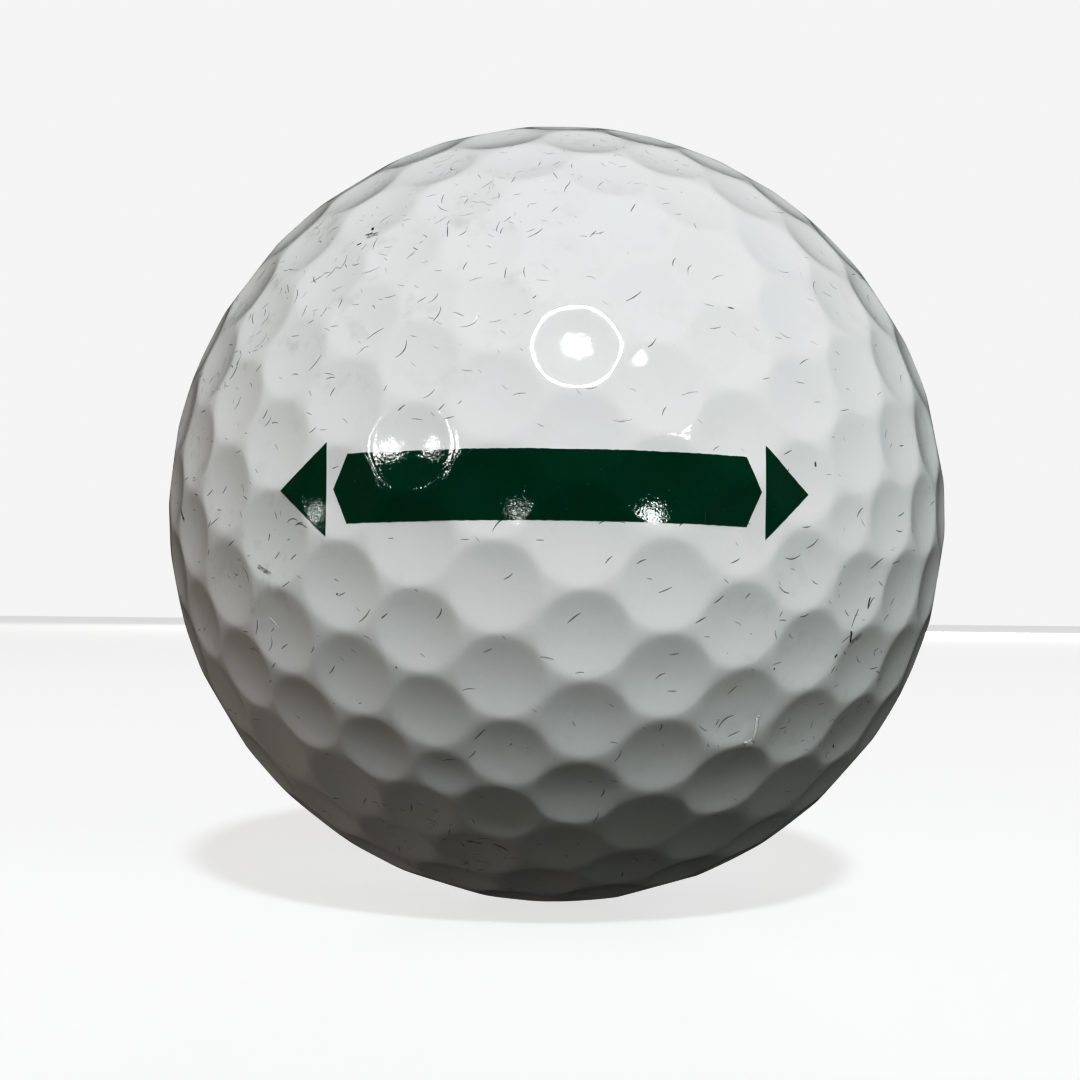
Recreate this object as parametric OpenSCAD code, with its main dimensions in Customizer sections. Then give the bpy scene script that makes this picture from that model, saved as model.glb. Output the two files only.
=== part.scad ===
// Golf ball: a rubber core, a moulded mantle, a dimpled cover and a printed alignment mark.
// The centre of the ball is the origin. The mark faces -Y, with its long side along X and +Z up.
// Lengths are in millimetres and angles in degrees.

/* [Layers] */
// Diameter of the ball over the lands between its dimples
ball_d = 42.7; // [42.67:0.01:43.5]
// Thickness of the cover, measured at a land
cover_t = 0.8; // [0.6:0.05:2]
// Thickness of the mantle under the cover
mantle_t = 0.85; // [0.5:0.05:2]

/* [Dimple sizes] */
// Angle between the wall of a dimple and the plane of its rim, at the rim
wall_angle = 8; // [4:0.5:12]
// Diameter of the small dimples at the corners of the icosahedron
corner_d = 2.65; // [2:0.05:2.9]
// Diameter of the edge dimples next to a corner
edge_outer_d = 3.8; // [3:0.05:3.85]
// Diameter of the edge dimples next to an edge's middle
edge_inner_d = 4.05; // [3:0.05:4.05]
// Diameter of the dimples in the middle of each edge
edge_middle_d = 4.2; // [3:0.05:4.25]
// Diameter of the dimple at the centre of each face
face_centre_d = 4.5; // [3:0.05:4.55]
// Diameter of the face dimples that point at a corner
face_corner_d = 4.1; // [3:0.05:4.15]
// Diameter of the face dimples in the ring around the centre
face_ring_d = 4.2; // [3:0.05:4.25]

/* [Dimple places] */
// Angle at the ball's centre from a corner to the first edge dimple
edge_outer_at = 9.45; // [9.4:0.05:9.5]
// Angle from a corner to the second edge dimple
edge_inner_at = 20.4; // [20.35:0.05:20.45]
// Angle from a corner to the face dimple that points at it
face_corner_at = 17.1; // [17:0.05:17.2]
// Angle from a face's centre to its ring of dimples
face_ring_at = 12.05; // [12:0.05:12.1]
// Turn of each ring dimple from the line between the face's centre and a corner
face_ring_turn = 31.3; // [31.2:0.05:31.4]
// Tilt of the whole pattern about Y, before its spin
pattern_tilt = -6.3; // [-30:0.1:30]
// Spin of the whole pattern about Z
pattern_spin = 73.4; // [-90:0.1:90]

/* [Mark] */
// Length of the bar between its two points
bar_l = 19.65; // [8:0.05:20]
// Height of the bar
bar_h = 3.2; // [1:0.1:6]
// Length of the slope at each end of the bar
bar_slope = 0.7; // [0.2:0.1:2]
// Rise of the bar's middle above its ends
bar_bow = 0.13; // [0:0.01:0.5]
// Gap between the bar's left point and the left arrowhead
left_gap = 0.35; // [0.15:0.05:1]
// Gap between the bar's right point and the right arrowhead
right_gap = 0.2; // [0.15:0.05:1]
// Length of the left arrowhead
left_arrow_l = 2.35; // [1:0.05:3]
// Length of the right arrowhead
right_arrow_l = 2.1; // [1:0.05:3]
// Height of an arrowhead at its back
arrow_h = 4.35; // [2:0.05:6]
// Thickness of the ink
ink_t = 0.05; // [0.04:0.01:0.1]

/* [Hidden] */
ball_r = ball_d / 2;
mantle_r = ball_r - cover_t;
core_r = mantle_r - mantle_t;

// A dimple's cutter stands out this far beside its rim, above it and below it
cutter_side = 0.02;
cutter_top = 0.3;
cutter_foot = 1;
// Facets of the balls and of a cutter's side
ball_fn = 256;
cutter_fn = 40;

// Short sides along each long edge of the bar, and how far the outline's prism runs past the ball
bow_steps = 24;
prism_end = 1;
// Angle from the middle of the mark within which the dimples under it lie
mark_reach = 50;

// Corners of an icosahedron whose directions have more than this as their product are neighbours
neighbour_product = 0.4;
// Two directions nearer than this are the same one
same_direction = 0.001;
phi = (1 + sqrt(5)) / 2;

function unit(v) = v / norm(v);

// Unit vector at an angle from one unit vector, on the way to another
function lean(from, to, angle) = from * cos(angle) + unit(to - from * (from * to)) * sin(angle);

// Direction at one face's centre towards one of its corners
function across(centre, corner) = unit(corner - centre * (centre * corner));

corners = [for (a = [-1, 1], b = [-phi, phi], v = [[0, a, b], [a, b, 0], [b, 0, a]]) unit(v)];

function near(p, q) = p != q && p * q > neighbour_product;

// Every edge twice, once from each end, and every face six times, once for each order of its corners
edges = [for (p = corners, q = corners) if (near(p, q)) [p, q]];
faces = [for (e = edges, r = corners) if (near(e[0], r) && near(e[1], r)) [e[0], e[1], r]];

// One entry of each pair or ring of equal directions
function first_of(list) = [
    for (i = [0:len(list) - 1])
        let (same = [for (j = [0:1:i - 1]) if (norm(list[i] - list[j]) < same_direction) j])
        if (len(same) == 0) list[i]
];

edge_middles = first_of([for (e = edges) unit(e[0] + e[1])]);
face_centres = first_of([for (f = faces) unit(f[0] + f[1] + f[2])]);
face_corner_spots = first_of([for (f = faces) lean(f[0], unit(f[0] + f[1] + f[2]), face_corner_at)]);
face_ring_spots = [
    for (f = faces)
        let (centre = unit(f[0] + f[1] + f[2]))
        lean(centre, lean(across(centre, f[0]), across(centre, f[1]), face_ring_turn), face_ring_at)
];

// Each dimple is a direction and a diameter
dimples = concat(
    [for (p = corners) [p, corner_d]],
    [for (e = edges) [lean(e[0], e[1], edge_outer_at), edge_outer_d]],
    [for (e = edges) [lean(e[0], e[1], edge_inner_at), edge_inner_d]],
    [for (p = edge_middles) [p, edge_middle_d]],
    [for (p = face_centres) [p, face_centre_d]],
    [for (p = face_corner_spots) [p, face_corner_d]],
    [for (p = face_ring_spots) [p, face_ring_d]]
);

// How far a direction of the pattern points towards -Y once the pattern is turned
function facing(v) =
    let (tilted_x = v.x * cos(pattern_tilt) + v.z * sin(pattern_tilt))
    -tilted_x * sin(pattern_spin) - v.y * cos(pattern_spin);

// A shallow spherical bowl that stands a little proud of the ball, on the Z axis
module dimple_cutter(d) {
    bowl_r = d / 2 / sin(wall_angle);
    rim_z = sqrt(ball_r * ball_r - d * d / 4);
    intersection() {
        translate([0, 0, rim_z + bowl_r * cos(wall_angle)])
            sphere(r = bowl_r, $fn = ball_fn);
        translate([0, 0, rim_z - cutter_foot])
            cylinder(r = d / 2 + cutter_side, h = cutter_foot + cutter_top, $fn = cutter_fn);
    }
}

// The ball with its dimples cut, or only those within an angle of the mark's middle
module dimpled_ball(reach = 180) {
    rotate([0, pattern_tilt, pattern_spin]) difference() {
        sphere(r = ball_r, $fn = ball_fn);
        for (d = dimples)
            if (facing(d[0]) >= cos(reach))
                rotate([0, acos(d[0].z), atan2(d[0].y, d[0].x)]) dimple_cutter(d[1]);
    }
}

module core() {
    color("#5b6b8c") sphere(r = core_r, $fn = ball_fn);
}

module mantle() {
    color("#c9c4b4") difference() {
        sphere(r = mantle_r, $fn = ball_fn);
        sphere(r = core_r, $fn = ball_fn);
    }
}

module cover() {
    color("#eceeec") difference() {
        dimpled_ball();
        sphere(r = mantle_r, $fn = ball_fn);
    }
}

// A film of ink on the dimpled surface, in the outline given as the child, seen from -Y
module ink_film() {
    color("#0a4a32") difference() {
        intersection() {
            scale(1 + ink_t / ball_r) dimpled_ball(mark_reach);
            rotate([90, 0, 0]) linear_extrude(height = ball_r + prism_end) children();
        }
        dimpled_ball(mark_reach);
    }
}

module mark_bar() {
    flat_half = bar_l / 2 - bar_slope;
    function edge(side) = [
        for (i = [0:bow_steps])
            let (x = side * flat_half * (1 - 2 * i / bow_steps))
            [x, bar_bow * (1 - pow(x / flat_half, 2)) + side * bar_h / 2]
    ];
    ink_film() polygon(concat([[bar_l / 2, 0]], edge(1), [[-bar_l / 2, 0]], edge(-1)));
}

module arrow_outline(gap, length) {
    back = bar_l / 2 + gap;
    polygon([[back, arrow_h / 2], [back + length, 0], [back, -arrow_h / 2]]);
}

module mark_arrow_left() {
    ink_film() mirror([1, 0]) arrow_outline(left_gap, left_arrow_l);
}

module mark_arrow_right() {
    ink_film() arrow_outline(right_gap, right_arrow_l);
}

core();
mantle();
cover();
mark_bar();
mark_arrow_left();
mark_arrow_right();
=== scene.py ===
import math

import bmesh
import bpy
import numpy as np
from mathutils import Matrix, Vector


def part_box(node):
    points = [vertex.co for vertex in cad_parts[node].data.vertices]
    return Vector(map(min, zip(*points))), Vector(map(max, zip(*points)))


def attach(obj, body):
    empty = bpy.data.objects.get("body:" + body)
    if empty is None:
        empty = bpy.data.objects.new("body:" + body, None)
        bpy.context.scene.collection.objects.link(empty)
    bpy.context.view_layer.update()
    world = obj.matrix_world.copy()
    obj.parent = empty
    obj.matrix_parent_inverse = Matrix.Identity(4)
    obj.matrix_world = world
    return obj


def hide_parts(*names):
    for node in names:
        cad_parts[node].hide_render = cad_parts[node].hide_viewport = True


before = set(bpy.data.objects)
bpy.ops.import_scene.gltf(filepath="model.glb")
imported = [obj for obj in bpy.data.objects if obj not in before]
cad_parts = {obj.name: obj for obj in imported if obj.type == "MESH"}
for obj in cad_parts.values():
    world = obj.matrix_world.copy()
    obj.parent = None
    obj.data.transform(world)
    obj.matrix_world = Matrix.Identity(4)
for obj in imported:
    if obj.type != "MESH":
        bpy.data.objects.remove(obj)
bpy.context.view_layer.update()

MM = 0.001
SEED = 7

# The ball, in millimetres. Its radius comes from the cover in model.glb, and -Y is the side with the mark.
BALL_R = max(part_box("cover")[1]) / MM
MANTLE_R = max(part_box("mantle")[1]) / MM
WALL_ANGLE = math.radians(8)
RIM_SOFTNESS = 0.026

# Diameters of the dimples by their place in the icosahedral pattern, in millimetres.
CORNER_D = 2.65
EDGE_OUTER_D = 3.8
EDGE_INNER_D = 4.05
EDGE_MIDDLE_D = 4.2
FACE_CENTRE_D = 4.5
FACE_CORNER_D = 4.1
FACE_RING_D = 4.2

# Where they lie, as angles at the ball's centre.
EDGE_OUTER_AT = math.radians(9.45)
EDGE_INNER_AT = math.radians(20.4)
FACE_CORNER_AT = math.radians(17.1)
FACE_RING_AT = math.radians(12.05)
FACE_RING_TURN = math.radians(31.3)
PATTERN_TILT = math.radians(-6.3)
PATTERN_SPIN = math.radians(73.4)

# The printed mark, in millimetres.
BAR_L, BAR_H, BAR_SLOPE, BAR_BOW = 19.65, 3.2, 0.7, 0.13
ARROW_H = 4.35
ARROWS = {"left": (-1, 0.35, 2.35), "right": (1, 0.2, 2.1)}
INK_LIFT, INK_SINK = 0.016, 0.02
INK_STEP, INK_RAGGED = 0.16, 0.012
# A film's face points along the skin's normal or against it by more than this product, its edge by less.
FACE_NOT_EDGE = 0.6
# Turns that it takes to find the dimpled surface along a line.
SURFACE_TURNS = 4

# Rings of the mesh, as shares of a dimple's radius and of the land round it, and the steps along them.
BOWL_RINGS = (0.32, 0.58, 0.78, 0.9, 0.97)
LAND_RINGS = (0.0, 0.35, 0.68, 1.0)
SIDE_STEP = 0.46
# The cover's smooth inner wall, and its gap to the mantle.
INNER_SUBDIVISIONS = 4
WALL_GAP = 0.01
# Vertices nearer than this, in metres, are one vertex.
SKIN_MERGE = 2e-7
FILM_MERGE = 1e-6

# The surface is worked out from the nearest dimples, for a chunk of places at a time, and its slope
# from a small step to each side.
NEAREST = 4
CHUNK = 8192
SLOPE_STEP = 2e-4
# Corners of the icosahedron are neighbours when their product lies between these.
NEIGHBOUR_LOW, NEIGHBOUR_HIGH = 0.4, 0.9
SAME_DIRECTION = 1e-3
# Radius of the hull that finds the dimples' neighbours, large enough to keep its corners apart.
HULL_R = 100

# Camera, from the front and a little below the ball's middle.
CAMERA_AZIMUTH, CAMERA_ELEVATION, CAMERA_ROLL = 1.46, -3.2, 0.55
CAMERA_DISTANCE = 4.739 * BALL_R
LENS_MM, SENSOR_MM = 59.93, 36
SHIFT_X, SHIFT_Y = -0.0156, -0.0243
CLIP_START, CLIP_END = 0.005, 10

# Where the cover is worn: azimuth from the front, elevation, radius and share of places with a mark.
WORN_ZONES = (
    (-27, 33, 30, 0.5),
    (-44, -9, 15, 0.5),
    (-62, 22, 24, 0.3),
    (42, -22, 24, 0.22),
    (-20, -55, 18, 0.3),
    (12, 58, 18, 0.2),
    (150, 12, 30, 0.35),
    (-130, -35, 24, 0.3),
    (100, 48, 20, 0.3),
)

# Single marks: azimuth, elevation, heading from the right, half length and half width in millimetres.
DARK_MARKS = (
    (-31.7, 37.0, 20, 0.21, 0.06),
    (-31.9, 38.2, -60, 0.17, 0.07),
    (-32.3, 34.9, 25, 0.12, 0.05),
    (45.8, -18.1, -75, 0.32, 0.07),
    (43.7, -20.6, 70, 0.11, 0.05),
    (-62.5, -1.9, -60, 0.4, 0.07),
    (36.1, 3.9, -82, 0.13, 0.05),
    (48.6, -13.5, 85, 0.28, 0.05),
)
SMUDGES = (
    (-16.2, -52.7, -18, 0.4, 0.13),
    (-10.3, -53.2, -41, 0.38, 0.12),
    (47.2, -18.4, 30, 0.5, 0.16),
    (-30.6, 36.5, 10, 0.35, 0.2),
    (-40.1, -10.0, -26, 0.4, 0.1),
)
PALE_SCUFFS = (
    (32.9, -31.3, -82, 0.75, 0.09),
    (32.5, -33.4, -60, 0.26, 0.2),
    (152, 20, 30, 0.9, 0.08),
    (-118, -12, -70, 0.7, 0.09),
)

# Random scuffs: size of the cells with one scuff each, in millimetres, their shift, half the scuff's
# length and width, and the share of cells that have one where the cover is worn through and through.
SCUFFS = (
    (0.85, (3.1, 0.7, 9.2), 0.26, 0.04, 0.8),
    (1.1, (7.4, 5.2, 1.3), 0.36, 0.038, 0.9),
    (1.5, (1.9, 8.8, 4.6), 0.48, 0.044, 0.9),
)
# A stroke or a dot shows only this near to its own point, measured through the surface.
SURFACE_DEPTH = 0.4

# Colours of the paint, the ink and what lies on them, and the roughness of the lacquer over both.
WARM_WHITE, COOL_WHITE = (0.815, 0.812, 0.808, 1), (0.812, 0.834, 0.834, 1)
GRIME = (0.40, 0.39, 0.37, 1)
SCUFF_GREY = (0.10, 0.11, 0.115, 1)
SMUDGE_GREY = (0.10, 0.10, 0.10, 1)
DARK_GREY = (0.035, 0.035, 0.04, 1)
BARE_WHITE = (0.93, 0.94, 0.93, 1)
DEEP_GREEN, LIGHT_GREEN = (0.0003, 0.031, 0.0115, 1), (0.0005, 0.046, 0.0205, 1)
FADED_GREEN = (0.001, 0.052, 0.028, 1)
SPECK_GREEN = (0.06, 0.16, 0.12, 1)
SCRATCH_GREEN = (0.05, 0.11, 0.09, 1)
LACQUER_ROUGH = 0.045
COVER_GRAIN, INK_GRAIN = 0.0000035, 0.0000055

# The camera's tone curve: light that the scene sends, and light as the picture shows it.
TONE_CURVE = ((0.16, 0.114), (0.3, 0.262), (0.5, 0.538), (0.7, 0.728), (1.0, 0.94))

# Distance of the lamps from the ball, in metres.
LIGHT_DISTANCE = 2.0
# Each lamp has its azimuth from the front, elevation and width, its strength, and its colour.
KEYS = {
    "key": (8, 43, 4.8, 0.78, (0.905, 0.945, 1.0)),
    "back_key": (176, 6, 6, 0.5, (1.0, 1.0, 1.0)),
}
# The fills are broad, and don't show as reflections.
FILLS = {
    "sky_fill": (8, 43, 90, 0.42, (1.0, 0.885, 0.69)),
    "right_fill": (36, 18, 30, 0.128, (0.82, 1.0, 0.95)),
    "left_side_fill": (-102, -20, 40, 0.165, (1.0, 0.96, 0.88)),
    "left_rim_fill": (-125, -5, 40, 0.18, (1.0, 0.93, 0.87)),
    "right_rim_fill": (125, -5, 40, 0.11, (0.97, 1.0, 0.99)),
}
# The glints are small, and show only as reflections.
GLINTS = {
    "right_glint": (35, 15.5, 3.4, 0.09, (0.95, 1.0, 1.0)),
    "right_glint_high": (36.5, 21.5, 2.6, 0.04, (0.95, 1.0, 1.0)),
    "left_glint": (-46, 14, 3.4, 0.068, (1.0, 0.97, 0.95)),
    "left_glint_near": (-32, 15, 3.4, 0.068, (1.0, 0.98, 0.96)),
    "left_glint_low": (-24, 9, 1.5, 0.016, (1.0, 1.0, 1.0)),
    "left_glint_far": (-54, 8, 1.6, 0.018, (1.0, 1.0, 1.0)),
}
# The world is dark, with a little light from both sides: a direction, the products with it at which
# the light starts and is full, and its colour.
WORLD_DARK = (0.004, 0.004, 0.0035)
WORLD_LIGHT = (
    ((-0.87, 0.3, -0.1), 0.25, 1.0, (0.05, 0.042, 0.036)),
    ((0.9, 0.3, -0.2), 0.3, 1.0, (0.06, 0.064, 0.062)),
)
# What the camera sees of the world, and the floor's half width in metres, its grey and its glow.
BACKDROP = (0.95, 0.95, 0.95, 1)
FLOOR_HALF = 4
FLOOR_GREY = (0.5, 0.5, 0.5, 1)
FLOOR_GLOW = 0.64


def unit(v):
    return v / np.linalg.norm(v, axis=-1, keepdims=True)


def lean(start, to, angle):
    """The unit vector at an angle from one unit vector, on the way to another."""
    return start * math.cos(angle) + unit(to - start * (start @ to)) * math.sin(angle)


def distinct(vectors):
    """The vectors with repeats left out, in their first order."""
    kept = []
    for v in vectors:
        if all(np.linalg.norm(v - k) > SAME_DIRECTION for k in kept):
            kept.append(v)
    return kept


def turn_matrix():
    """The turn of the whole dimple pattern under the mark."""
    tilt, spin = Matrix.Rotation(PATTERN_TILT, 3, "Y"), Matrix.Rotation(PATTERN_SPIN, 3, "Z")
    return np.array(spin @ tilt)


def are_neighbours(p, q):
    return NEIGHBOUR_LOW < p @ q < NEIGHBOUR_HIGH


def centre(corners):
    """The direction in the middle of a face or an edge."""
    return unit(sum(corners))


def heading_to(middle, corner):
    """The direction at a face's middle towards one of its corners."""
    return unit(corner - middle * (middle @ corner))


def dimple_pattern():
    """Directions and angular radii of all dimples, on the corners, edges and faces of an icosahedron."""
    phi = (1 + math.sqrt(5)) / 2
    signs = [(a, b) for a in (-1, 1) for b in (-phi, phi)]
    corners = [unit(np.array(v, float)) for a, b in signs for v in ((0, a, b), (a, b, 0), (b, 0, a))]
    edges = [(p, q) for p in corners for q in corners if are_neighbours(p, q)]
    faces = [(p, q, r) for p, q in edges for r in corners if are_neighbours(p, r) and are_neighbours(q, r)]
    ring = []
    for f in faces:
        middle = centre(f)
        heading = lean(heading_to(middle, f[0]), heading_to(middle, f[1]), FACE_RING_TURN)
        ring.append(lean(middle, heading, FACE_RING_AT))
    groups = [
        (corners, CORNER_D),
        ([lean(p, q, EDGE_OUTER_AT) for p, q in edges], EDGE_OUTER_D),
        ([lean(p, q, EDGE_INNER_AT) for p, q in edges], EDGE_INNER_D),
        (distinct(centre(e) for e in edges), EDGE_MIDDLE_D),
        (distinct(centre(f) for f in faces), FACE_CENTRE_D),
        (distinct(lean(f[0], centre(f), FACE_CORNER_AT) for f in faces), FACE_CORNER_D),
        (ring, FACE_RING_D),
    ]
    directions = np.array([v for vectors, d in groups for v in vectors]) @ turn_matrix().T
    diameters = np.array([d for vectors, d in groups for v in vectors])
    return directions, np.arcsin(diameters / 2 / BALL_R)


DIMPLES, RIMS = dimple_pattern()
BOWL_RADII = BALL_R * np.sin(RIMS) / math.sin(WALL_ANGLE)
BOWL_CENTRES = BALL_R * np.cos(RIMS) + BOWL_RADII * math.cos(WALL_ANGLE)


def surface_radius(directions):
    """Distance from the ball's centre to its dimpled surface, with the rims rounded by a soft minimum."""
    out = np.empty(len(directions))
    for start in range(0, len(directions), CHUNK):
        chunk = directions[start:start + CHUNK]
        cosines = chunk @ DIMPLES.T
        near = np.argpartition(-cosines, NEAREST, axis=1)[:, :NEAREST]
        c = np.clip(np.take_along_axis(cosines, near, axis=1), -1, 1)
        bowl, middle = BOWL_RADII[near], BOWL_CENTRES[near]
        room = np.maximum(bowl ** 2 - middle ** 2 * (1 - c ** 2), 0)
        reach = middle * c - np.sqrt(room)
        heights = np.concatenate([np.full((len(chunk), 1), BALL_R), reach], axis=1)
        lowest = heights.min(axis=1, keepdims=True)
        total = np.exp((lowest - heights) / RIM_SOFTNESS).sum(axis=1)
        out[start:start + CHUNK] = lowest[:, 0] - RIM_SOFTNESS * np.log(total)
    return out


def tangents(directions):
    """Two directions along the sphere at each place, square to each other."""
    helper = np.where(np.abs(directions[:, 2:]) < 0.9, [[0.0, 0.0, 1.0]], [[1.0, 0.0, 0.0]])
    first = unit(np.cross(helper, directions))
    return first, np.cross(directions, first)


def surface_normals(directions):
    """True normals of the dimpled surface, from the slope of its radius."""
    r = surface_radius(directions)
    normals = directions.copy()
    for t in tangents(directions):
        ahead = surface_radius(unit(directions + t * SLOPE_STEP))
        behind = surface_radius(unit(directions - t * SLOPE_STEP))
        normals -= ((ahead - behind) / (2 * SLOPE_STEP) / r)[:, None] * t
    return unit(normals)


def cell_corners():
    """For each dimple, the corners of its share of the sphere, in order round it."""
    work = bmesh.new()
    for point in DIMPLES / np.cos(RIMS)[:, None]:
        work.verts.new(point * HULL_R)
    work.verts.index_update()
    bmesh.ops.convex_hull(work, input=work.verts[:])
    bmesh.ops.triangulate(work, faces=work.faces[:])
    corners = [[] for _ in DIMPLES]
    for face in work.faces:
        trio = [v.index for v in face.verts]
        corner = unit(np.linalg.solve(DIMPLES[trio], np.cos(RIMS[trio])))
        for i in trio:
            corners[i].append(corner)
    work.free()
    for i, found in enumerate(corners):
        a, b = (t[0] for t in tangents(DIMPLES[i:i + 1]))
        found = distinct(found)
        corners[i] = sorted(found, key=lambda v: math.atan2(v @ b, v @ a))
    return corners


def cell_outline(corners):
    """Points round a cell. Two cells that share a side get the same points along it."""
    points = []
    for start, end in zip(corners, corners[1:] + corners[:1]):
        steps = max(1, round(BALL_R * float(np.linalg.norm(end - start)) / SIDE_STEP))
        for k in range(steps):
            points.append(unit(start * (1 - k / steps) + end * (k / steps)))
    return np.array(points)


def skin_geometry():
    """Directions and faces of the whole skin: rings in each dimple, then rings over the land round it."""
    directions, faces = [], []
    for middle, rim, corners in zip(DIMPLES, RIMS, cell_corners()):
        outline = cell_outline(corners)
        reach = np.arccos(np.clip(outline @ middle, -1, 1))
        sideways = unit(outline - np.outer(outline @ middle, middle))
        first = len(directions)
        directions.append(middle)
        angles = [np.full(len(outline), share * rim) for share in BOWL_RINGS]
        angles += [rim + share * (reach - rim) for share in LAND_RINGS]
        for ring in angles:
            directions += list(np.cos(ring)[:, None] * middle + np.sin(ring)[:, None] * sideways)
        n = len(outline)
        for k in range(n):
            faces.append((first, first + 1 + k, first + 1 + (k + 1) % n))
        for ring in range(len(angles) - 1):
            inner = first + 1 + ring * n
            for k in range(n):
                after = (k + 1) % n
                faces.append((inner + k, inner + n + k, inner + n + after, inner + after))
    return np.array(directions), faces


def add_piece(name, mesh, node, material):
    """A piece on the ball's one body, in place of a CAD node."""
    mesh.materials.append(material)
    piece = bpy.data.objects.new(name, mesh)
    bpy.context.scene.collection.objects.link(piece)
    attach(piece, "root")
    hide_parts(node)


def make_cover(material):
    """The dimpled skin and the smooth inner wall that fits the mantle, as one closed shell."""
    directions, faces = skin_geometry()
    work = bmesh.new()
    verts = [work.verts.new(v * BALL_R * MM) for v in directions]
    for face in faces:
        work.faces.new([verts[i] for i in face])
    bmesh.ops.remove_doubles(work, verts=work.verts[:], dist=SKIN_MERGE)
    inner_r = (MANTLE_R + WALL_GAP) * MM
    inner = bmesh.ops.create_icosphere(work, subdivisions=INNER_SUBDIVISIONS, radius=inner_r)["verts"]
    bmesh.ops.reverse_faces(work, faces=list({f for v in inner for f in v.link_faces}))
    mesh = bpy.data.meshes.new("cover_skin")
    work.to_mesh(mesh)
    work.free()
    places = np.empty(len(mesh.vertices) * 3)
    mesh.vertices.foreach_get("co", places)
    places = places.reshape(-1, 3)
    outside = np.linalg.norm(places, axis=1) > (BALL_R + MANTLE_R) / 2 * MM
    normals = -unit(places)
    directions = unit(places[outside])
    normals[outside] = surface_normals(directions)
    places[outside] = directions * surface_radius(directions)[:, None] * MM
    mesh.vertices.foreach_set("co", places.ravel())
    mesh.shade_smooth()
    mesh.normals_split_custom_set_from_vertices(normals.tolist())
    mesh.update()
    add_piece("cover_skin", mesh, "cover", material)


def on_skin(x, z):
    """The directions at which lines along Y, at x and z, meet the dimpled surface on the mark's side."""
    r = np.full(len(x), BALL_R)
    for _ in range(SURFACE_TURNS):
        points = np.stack([x, -np.sqrt(r ** 2 - x ** 2 - z ** 2), z], axis=1)
        directions = unit(points)
        r = surface_radius(directions)
    return directions, r


def make_film(name, node, xs, middle, half_height, material, rng):
    """A thin film of ink on the skin, in columns along x, each from its lower edge to its upper one."""
    rows = max(2, round(2 * max(half_height(x) for x in xs) / INK_STEP))
    grid = []
    for x in xs:
        ragged = rng.uniform(-INK_RAGGED, INK_RAGGED, 2) if half_height(x) > INK_STEP else np.zeros(2)
        low, high = middle(x) - half_height(x) + ragged[0], middle(x) + half_height(x) + ragged[1]
        grid.append([(x, low + (high - low) * k / rows) for k in range(rows + 1)])
    flat = np.array(grid).reshape(-1, 2)
    directions, r = on_skin(flat[:, 0], flat[:, 1])
    work = bmesh.new()
    top = [work.verts.new(p * MM) for p in directions * (r + INK_LIFT)[:, None]]
    bottom = [work.verts.new(p * MM) for p in directions * (r - INK_SINK)[:, None]]
    last = len(xs) - 1

    def at(column, row):
        return column * (rows + 1) + row

    for c in range(last):
        for k in range(rows):
            ring = [at(c, k), at(c + 1, k), at(c + 1, k + 1), at(c, k + 1)]
            work.faces.new([top[i] for i in ring])
            work.faces.new([bottom[i] for i in reversed(ring)])
    border = [at(c, 0) for c in range(last)] + [at(last, k) for k in range(rows)]
    border += [at(c, rows) for c in range(last, 0, -1)] + [at(0, k) for k in range(rows, 0, -1)]
    for i, j in zip(border, border[1:] + border[:1]):
        work.faces.new([top[i], bottom[i], bottom[j], top[j]])
    bmesh.ops.remove_doubles(work, verts=work.verts[:], dist=FILM_MERGE)
    bmesh.ops.dissolve_degenerate(work, edges=work.edges[:], dist=FILM_MERGE / 10)
    work.normal_update()
    mesh = bpy.data.meshes.new(name)
    work.to_mesh(mesh)
    work.free()
    mesh.shade_smooth()
    give_film_normals(mesh)
    add_piece(name, mesh, node, material)


def give_film_normals(mesh):
    """The film's face takes the skin's true normals, and its thin edge stays flat."""
    places = np.array([v.co for v in mesh.vertices])
    smooth = surface_normals(unit(places))
    loops = np.empty((len(mesh.loops), 3))
    for face in mesh.polygons:
        outward = face.normal @ Vector(smooth[face.vertices[0]])
        for loop, vertex in zip(face.loop_indices, face.vertices):
            if abs(outward) > FACE_NOT_EDGE:
                loops[loop] = smooth[vertex] * (1 if outward > 0 else -1)
            else:
                loops[loop] = face.normal
    mesh.normals_split_custom_set(loops.tolist())


def spaced(start, end):
    """Places from start to end, about an ink step apart."""
    return list(np.linspace(start, end, max(2, round(abs(end - start) / INK_STEP)) + 1))


def make_bar(material, rng):
    end, flat_half = BAR_L / 2, BAR_L / 2 - BAR_SLOPE

    def bow(x):
        return BAR_BOW * (1 - min(1, (x / flat_half) ** 2))

    def half_height(x):
        return BAR_H / 2 * min(1, (end - abs(x)) / BAR_SLOPE)

    xs = spaced(-end, -flat_half) + spaced(-flat_half, flat_half)[1:] + spaced(flat_half, end)[1:]
    make_film("ink_bar", "mark_bar", xs, bow, half_height, material, rng)


def make_arrow(word, side, gap, length, material, rng):
    back = BAR_L / 2 + gap

    def middle(x):
        return 0

    def half_height(x):
        return ARROW_H / 2 * max(0, 1 - (abs(x) - back) / length)

    xs = sorted(side * x for x in spaced(back, back + length))
    make_film("ink_arrow_" + word, "mark_arrow_" + word, xs, middle, half_height, material, rng)


def make_mark(material):
    rng = np.random.default_rng(SEED)
    make_bar(material, rng)
    for word, settings in ARROWS.items():
        make_arrow(word, *settings, material, rng)


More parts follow.
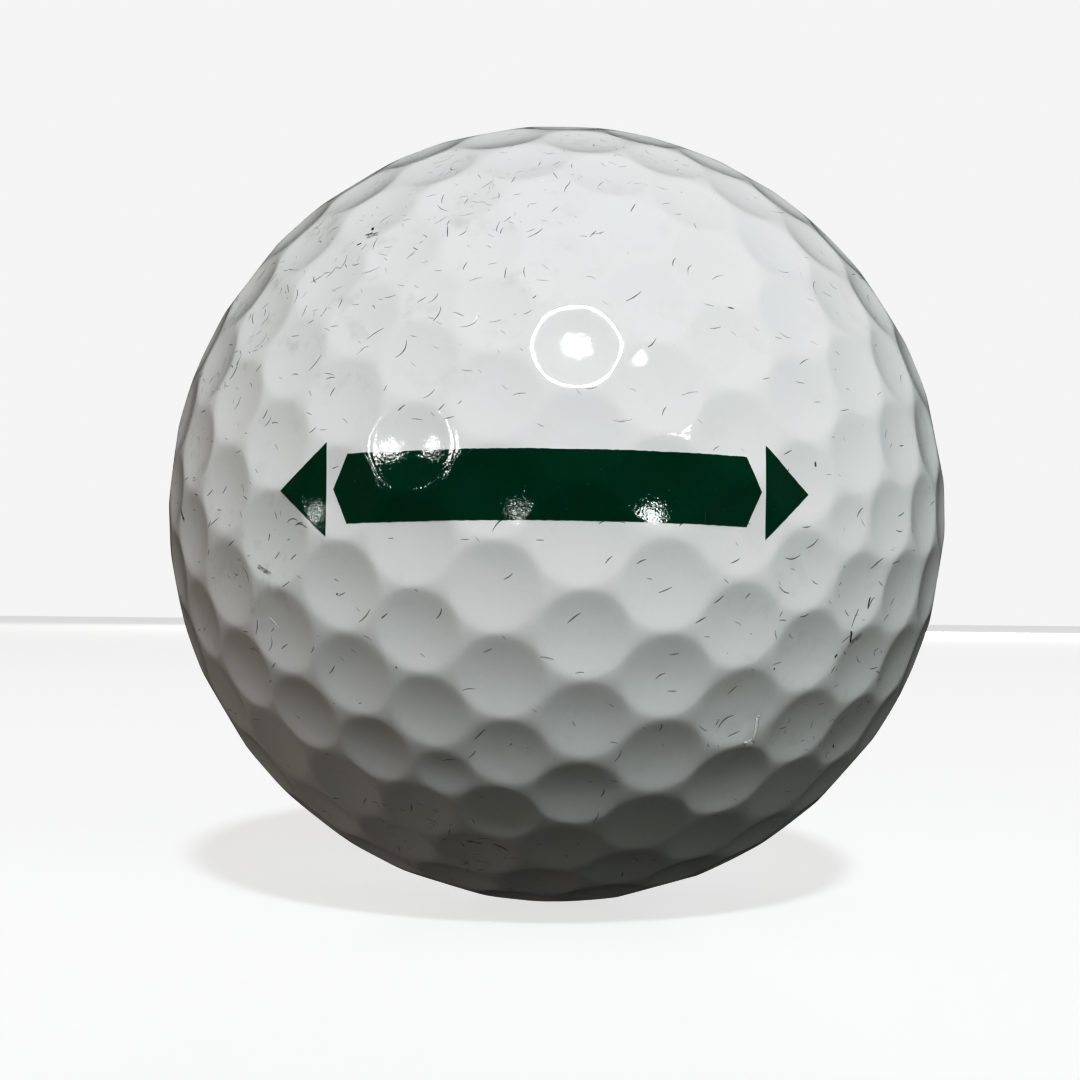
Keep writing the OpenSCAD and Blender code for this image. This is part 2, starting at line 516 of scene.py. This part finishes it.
class Nodes:
    """A short way to build the node tree of a material or of the world."""

    def __init__(self, owner):
        owner.use_nodes = True
        self.owner = owner
        self.tree = owner.node_tree

    def add(self, kind, inputs=(), **settings):
        node = self.tree.nodes.new("ShaderNode" + kind)
        for key, value in settings.items():
            setattr(node, key, value)
        for key, value in dict(inputs).items():
            self.link(value, node.inputs[key])
        return node

    def link(self, value, socket):
        if isinstance(value, bpy.types.NodeSocket):
            self.tree.links.new(value, socket)
        else:
            socket.default_value = value

    def math(self, operation, a, b=0.0, c=0.0):
        return self.add("Math", {0: a, 1: b, 2: c}, operation=operation).outputs[0]

    def vector(self, operation, a, b=(0, 0, 0)):
        node = self.add("VectorMath", {0: a, 1: b}, operation=operation)
        return node.outputs["Value" if operation in ("DOT_PRODUCT", "LENGTH") else "Vector"]

    def ramp(self, value, low, high, to_low=0.0, to_high=1.0):
        inputs = {"Value": value, "From Min": low, "From Max": high, "To Min": to_low, "To Max": to_high}
        return self.add("MapRange", inputs, interpolation_type="SMOOTHSTEP").outputs["Result"]

    def noise(self, where, scale, detail=3.0, roughness=0.5):
        inputs = {"Vector": where, "Scale": scale, "Detail": detail, "Roughness": roughness}
        return self.add("TexNoise", inputs).outputs["Fac"]

    def mix(self, share, a, b, blend="MIX"):
        node = self.add("Mix", {"Factor": share}, data_type="RGBA", blend_type=blend)
        self.link(a, node.inputs[6])
        self.link(b, node.inputs[7])
        return node.outputs[2]

    def bump(self, height, distance, strength, normal=None):
        inputs = {"Height": height, "Distance": distance, "Strength": strength}
        if normal:
            inputs["Normal"] = normal
        return self.add("Bump", inputs).outputs["Normal"]

    def millimetres(self):
        where = self.add("TexCoord").outputs["Object"]
        return self.add("VectorMath", {0: where, "Scale": 1 / MM}, operation="SCALE").outputs[0]

    def shade(self, **inputs):
        shader = self.tree.nodes["Principled BSDF"]
        for key, value in inputs.items():
            self.link(value, shader.inputs[key.replace("_", " ")])
        return self.owner


def new_material(name):
    return Nodes(bpy.data.materials.new(name))


def cell_frame(n, where, cell, shift):
    """A random point near each place, with its own random numbers and its own axes on the surface."""
    moved = n.vector("ADD", where, shift)
    cells = n.add("TexVoronoi", {"Vector": moved, "Scale": 1 / cell})
    offset = n.vector("SUBTRACT", moved, cells.outputs["Position"])
    chance = n.add("SeparateXYZ", {0: cells.outputs["Color"]})
    normal = n.add("NewGeometry").outputs["Normal"]
    heading = n.vector("SUBTRACT", cells.outputs["Color"], (0.5, 0.5, 0.5))
    along = n.vector("NORMALIZE", n.vector("CROSS_PRODUCT", normal, heading))
    across = n.vector("CROSS_PRODUCT", normal, along)
    parts = [n.vector("DOT_PRODUCT", offset, axis) for axis in (along, across, normal)]
    return parts, chance.outputs


def strokes(n, where, cell, shift, half_length, half_width, bend, share):
    """Thin curved strokes of random heading and length, and how strong each is, from 0 to 1."""
    (along, across, depth), chance = cell_frame(n, where, cell, shift)
    # A stroke is 0.45 to 1.25 times the given length, bends either way, and tapers to 0.45 of its width.
    length = n.math("MULTIPLY_ADD", chance[0], half_length * 0.8, half_length * 0.45)
    curve = n.math("MULTIPLY", n.math("SUBTRACT", chance[1], 0.5), bend)
    bent = n.math("ABSOLUTE", n.math("MULTIPLY_ADD", n.math("MULTIPLY", along, along), curve, across))
    reach = n.math("DIVIDE", n.math("ABSOLUTE", along), length)
    width = n.math("MULTIPLY_ADD", reach, -0.55 * half_width, half_width)
    line = n.ramp(n.math("DIVIDE", bent, width), 0.45, 1.0, 1.0, 0.0)
    ends = n.ramp(reach, 0.8, 1.0, 1.0, 0.0)
    near = n.math("LESS_THAN", n.math("ABSOLUTE", depth), SURFACE_DEPTH)
    kept = n.math("LESS_THAN", chance[2], share)
    mask = n.math("MULTIPLY", n.math("MULTIPLY", line, ends), n.math("MULTIPLY", near, kept))
    return mask, chance[0]


def placed(n, where, marks):
    """Single strokes at given places on the ball, each straight and ragged along its sides."""
    total = None
    ragged = n.math("MULTIPLY_ADD", n.noise(where, 7.0), 1.2, 0.4)
    for azimuth, elevation, heading, half_length, half_width in marks:
        middle = from_front(azimuth, elevation)
        right = Vector((0, 0, 1)).cross(middle).normalized()
        along = Matrix.Rotation(math.radians(heading), 3, middle) @ right
        offset = n.vector("SUBTRACT", where, middle * BALL_R)
        forward = n.vector("LENGTH", n.vector("PROJECT", offset, along))
        sideways = n.vector("LENGTH", n.vector("PROJECT", offset, middle.cross(along)))
        reach = n.math("DIVIDE", forward, half_length)
        side = n.math("DIVIDE", sideways, half_width)
        away = n.math("MULTIPLY", n.math("MAXIMUM", reach, side), ragged)
        front = n.math("GREATER_THAN", n.vector("DOT_PRODUCT", where, middle), 0.0)
        mask = n.math("MULTIPLY", n.ramp(away, 0.7, 1.15, 1.0, 0.0), front)
        total = n.math("MAXIMUM", total, mask) if total else mask
    return total


def dots(n, where, cell, shift, radius, share):
    """Small ragged dots of random size."""
    (along, across, depth), chance = cell_frame(n, where, cell, shift)
    away = n.vector("LENGTH", n.add("CombineXYZ", {0: along, 1: across, 2: 0.0}).outputs[0])
    ragged = n.math("MULTIPLY_ADD", n.noise(where, 9.0), radius, away)
    size = n.math("MULTIPLY_ADD", chance[0], radius, radius)
    near = n.math("LESS_THAN", n.math("ABSOLUTE", depth), SURFACE_DEPTH)
    kept = n.math("LESS_THAN", chance[2], share)
    spot = n.ramp(n.math("DIVIDE", ragged, size), 0.85, 1.1, 1.0, 0.0)
    return n.math("MULTIPLY", spot, n.math("MULTIPLY", near, kept))


def wear_share(n, where):
    """How worn each place is: a little everywhere, and more in a few zones."""
    around = n.vector("NORMALIZE", where)
    total = n.ramp(n.noise(where, 0.11, 1.0), 0.35, 0.7, 0.09, 0.24)
    for azimuth, elevation, radius, share in WORN_ZONES:
        towards = n.vector("DOT_PRODUCT", around, from_front(azimuth, elevation))
        edge, full = math.cos(math.radians(radius)), math.cos(math.radians(radius * 0.35))
        total = n.math("ADD", total, n.ramp(towards, edge, full, 0.0, share))
    return total


def lacquer_waves(n, where, grain):
    """The lacquer's slight waviness: an orange peel with a finer grain on it."""
    broad = n.bump(n.noise(where, 0.8, 2.0), 0.000018, 1.0)
    return n.bump(n.noise(where, 8.0, 2.0, 0.6), grain, 1.0, broad)


def cover_material():
    """White paint under lacquer, with grime, random scuffs, dashes and dots, and single marks."""
    n = new_material("cover_white")
    where = n.millimetres()
    worn = wear_share(n, where)
    colour = n.mix(n.noise(where, 0.1, 2.0), WARM_WHITE, COOL_WHITE)
    grime = n.math("MULTIPLY", n.ramp(n.noise(where, 0.5, 4.0, 0.65), 0.52, 0.75), worn)
    colour = n.mix(n.math("MULTIPLY", grime, 0.5), colour, GRIME)
    clumped = n.math("MULTIPLY", worn, n.ramp(n.noise(where, 0.42, 1.5), 0.4, 0.62, 0.4, 1.35))
    marks = None
    for cell, shift, half_length, half_width, share in SCUFFS:
        chosen = n.math("MULTIPLY", clumped, share)
        mask, chance = strokes(n, where, cell, shift, half_length, half_width, 1.7, chosen)
        strength = n.math("MULTIPLY", mask, n.ramp(chance, 0.0, 1.0, 0.35, 1.0))
        marks = n.math("MAXIMUM", marks, strength) if marks else strength
    colour = n.mix(marks, colour, SCUFF_GREY)
    dash, _ = strokes(n, where, 4.2, (2.2, 6.1, 3.9), 0.2, 0.07, 1.0, 0.14)
    spot = dots(n, where, 3.4, (5.5, 1.2, 8.4), 0.04, 0.16)
    thin = n.ramp(n.noise(where, 4.0), 0.35, 0.65, 0.25, 0.75)
    smudge = n.math("MULTIPLY", placed(n, where, SMUDGES), thin)
    colour = n.mix(smudge, colour, SMUDGE_GREY)
    dark = n.math("MAXIMUM", n.math("MAXIMUM", dash, spot), placed(n, where, DARK_MARKS))
    colour = n.mix(dark, colour, DARK_GREY)
    scuff, _ = strokes(n, where, 5.2, (8.1, 2.7, 6.3), 0.75, 0.1, 0.7, 0.2)
    broken = n.math("MULTIPLY", scuff, n.ramp(n.noise(where, 6.0), 0.4, 0.6))
    broken = n.math("MAXIMUM", broken, placed(n, where, PALE_SCUFFS))
    colour = n.mix(broken, colour, BARE_WHITE)
    rough = n.math("MULTIPLY_ADD", n.math("MAXIMUM", marks, broken), 0.35, LACQUER_ROUGH)
    rough = n.math("MULTIPLY_ADD", grime, 0.12, rough)
    waves = n.bump(marks, -0.000004, 1.0, lacquer_waves(n, where, COVER_GRAIN))
    waves = n.bump(broken, 0.00004, 1.0, waves)
    return n.shade(Base_Color=colour, Roughness=rough, Normal=waves)


def ink_material():
    """Green ink under the same lacquer, with faded patches, pale specks and fine scratches."""
    n = new_material("ink_green")
    where = n.millimetres()
    colour = n.mix(n.noise(where, 0.45, 3.0), DEEP_GREEN, LIGHT_GREEN)
    patch = n.ramp(n.noise(n.vector("ADD", where, (4.0, 2.0, 7.0)), 3.2, 4.0, 0.6), 0.55, 0.75, 0.0, 0.5)
    colour = n.mix(patch, colour, FADED_GREEN)
    speck = dots(n, where, 0.9, (1.5, 6.6, 2.8), 0.02, 0.5)
    colour = n.mix(n.math("MULTIPLY", speck, 0.6), colour, SPECK_GREEN)
    scratch, _ = strokes(n, where, 1.7, (6.2, 3.3, 0.4), 0.4, 0.025, 1.2, 0.5)
    colour = n.mix(n.math("MULTIPLY", scratch, 0.35), colour, SCRATCH_GREEN)
    rough = n.math("MULTIPLY_ADD", scratch, 0.25, LACQUER_ROUGH)
    return n.shade(Base_Color=colour, Roughness=rough, Normal=lacquer_waves(n, where, INK_GRAIN))


def rubber_material():
    """The core: a dull moulded rubber with pale flecks of filler and a mould seam."""
    n = new_material("core_rubber")
    where = n.millimetres()
    colour = n.mix(n.noise(where, 0.25, 4.0), (0.07, 0.11, 0.19, 1), (0.11, 0.16, 0.26, 1))
    fleck = n.ramp(n.noise(where, 2.6, 5.0, 0.7), 0.62, 0.72)
    colour = n.mix(fleck, colour, (0.35, 0.40, 0.46, 1))
    height = n.add("SeparateXYZ", {0: where}).outputs["Z"]
    seam = n.ramp(n.math("ABSOLUTE", height), 0.0, 0.12, 1.0, 0.0)
    grain = n.bump(n.noise(where, 4.0, 5.0), 0.00003, 0.8)
    rough = n.ramp(n.noise(where, 1.2, 3.0), 0.3, 0.7, 0.55, 0.75)
    return n.shade(Base_Color=colour, Roughness=rough, Normal=n.bump(seam, 0.00005, 1.0, grain))


def resin_material():
    """The mantle: an ivory moulded resin with faint flow lines."""
    n = new_material("mantle_resin")
    where = n.millimetres()
    flow = n.noise(n.vector("MULTIPLY", where, (1.0, 1.0, 4.0)), 0.25, 4.0, 0.6)
    colour = n.mix(flow, (0.62, 0.58, 0.46, 1), (0.74, 0.71, 0.60, 1))
    grain = n.bump(n.noise(where, 3.0, 4.0), 0.00001, 0.8)
    rough = n.ramp(flow, 0.3, 0.7, 0.32, 0.45)
    return n.shade(Base_Color=colour, Roughness=rough, Normal=grain)


def finish_hidden_layers():
    for node, material in (("core", rubber_material()), ("mantle", resin_material())):
        bpy.data.objects[node].material_slots[0].material = material


def from_front(azimuth, elevation):
    """The direction at an azimuth to the right of the front and an elevation, both in degrees."""
    azimuth, elevation = math.radians(azimuth), math.radians(elevation)
    flat = math.cos(elevation)
    return Vector((math.sin(azimuth) * flat, -math.cos(azimuth) * flat, math.sin(elevation)))


def place_camera():
    data = bpy.data.cameras.new("camera")
    data.lens, data.sensor_width = LENS_MM, SENSOR_MM
    data.shift_x, data.shift_y = SHIFT_X, SHIFT_Y
    data.clip_start, data.clip_end = CLIP_START, CLIP_END
    camera = bpy.data.objects.new("camera", data)
    bpy.context.scene.collection.objects.link(camera)
    back = from_front(CAMERA_AZIMUTH, CAMERA_ELEVATION)
    camera.location = back * CAMERA_DISTANCE * MM
    aim = (-back).to_track_quat("-Z", "Y").to_matrix()
    roll = Matrix.Rotation(math.radians(CAMERA_ROLL), 3, "Z")
    camera.rotation_euler = (aim @ roll).to_euler()
    bpy.context.scene.camera = camera


def add_lamp(name, azimuth, elevation, width, strength, colour):
    """A round light that points at the ball, and that the camera doesn't see."""
    data = bpy.data.lights.new(name, "AREA")
    data.shape = "DISK"
    data.size = 2 * LIGHT_DISTANCE * math.tan(math.radians(width / 2))
    data.energy = strength * math.pi ** 2 * LIGHT_DISTANCE ** 2
    data.color = colour
    lamp = bpy.data.objects.new(name, data)
    lamp.location = from_front(azimuth, elevation) * LIGHT_DISTANCE
    lamp.rotation_euler = (-lamp.location).to_track_quat("-Z", "Y").to_euler()
    lamp.visible_camera = False
    bpy.context.scene.collection.objects.link(lamp)
    return lamp


def light_world():
    """White for the camera, and nearly dark for the ball, with a little light from both sides."""
    world = bpy.data.worlds.new("studio")
    bpy.context.scene.world = world
    n = Nodes(world)
    direction = n.add("TexCoord").outputs["Generated"]
    total = (*WORLD_DARK, 1)
    for axis, low, high, colour in WORLD_LIGHT:
        towards = n.vector("DOT_PRODUCT", direction, Vector(axis).normalized())
        total = n.mix(n.ramp(towards, low, high), total, (*colour, 1), "ADD")
    seen = n.mix(n.add("LightPath").outputs["Is Camera Ray"], total, BACKDROP)
    n.link(seen, n.tree.nodes["Background"].inputs["Color"])


def light_scene():
    light_world()
    for name, settings in KEYS.items():
        add_lamp(name, *settings)
    for name, settings in FILLS.items():
        add_lamp(name, *settings).visible_glossy = False
    for name, settings in GLINTS.items():
        add_lamp(name, *settings).visible_diffuse = False


def make_floor():
    """A plain pale floor. The ball shades it, but it doesn't light, shade or show in the ball."""
    mesh = bpy.data.meshes.new("floor")
    corners = [(x * FLOOR_HALF, y * FLOOR_HALF, 0) for x, y in ((-1, -1), (1, -1), (1, 1), (-1, 1))]
    mesh.from_pydata(corners, [], [(0, 1, 2, 3)])
    n = new_material("floor")
    mesh.materials.append(n.shade(
        Base_Color=FLOOR_GREY,
        Roughness=0.9,
        Specular_IOR_Level=0.0,
        Emission_Color=(1, 1, 1, 1),
        Emission_Strength=FLOOR_GLOW,
    ))
    floor = bpy.data.objects.new("floor", mesh)
    floor.location.z = -BALL_R * MM
    floor.visible_diffuse = False
    floor.visible_glossy = False
    floor.visible_shadow = False
    bpy.context.scene.collection.objects.link(floor)


def set_tone():
    """The photograph's contrast, as a curve over the standard view."""
    settings = bpy.context.scene.view_settings
    settings.view_transform = "Standard"
    settings.use_curve_mapping = True
    points = settings.curve_mapping.curves[3].points
    points[1].location = TONE_CURVE[-1]
    for place in TONE_CURVE[:-1]:
        points.new(*place)
    settings.curve_mapping.update()


def main():
    set_tone()
    place_camera()
    light_scene()
    make_floor()
    make_cover(cover_material())
    make_mark(ink_material())
    finish_hidden_layers()


main()
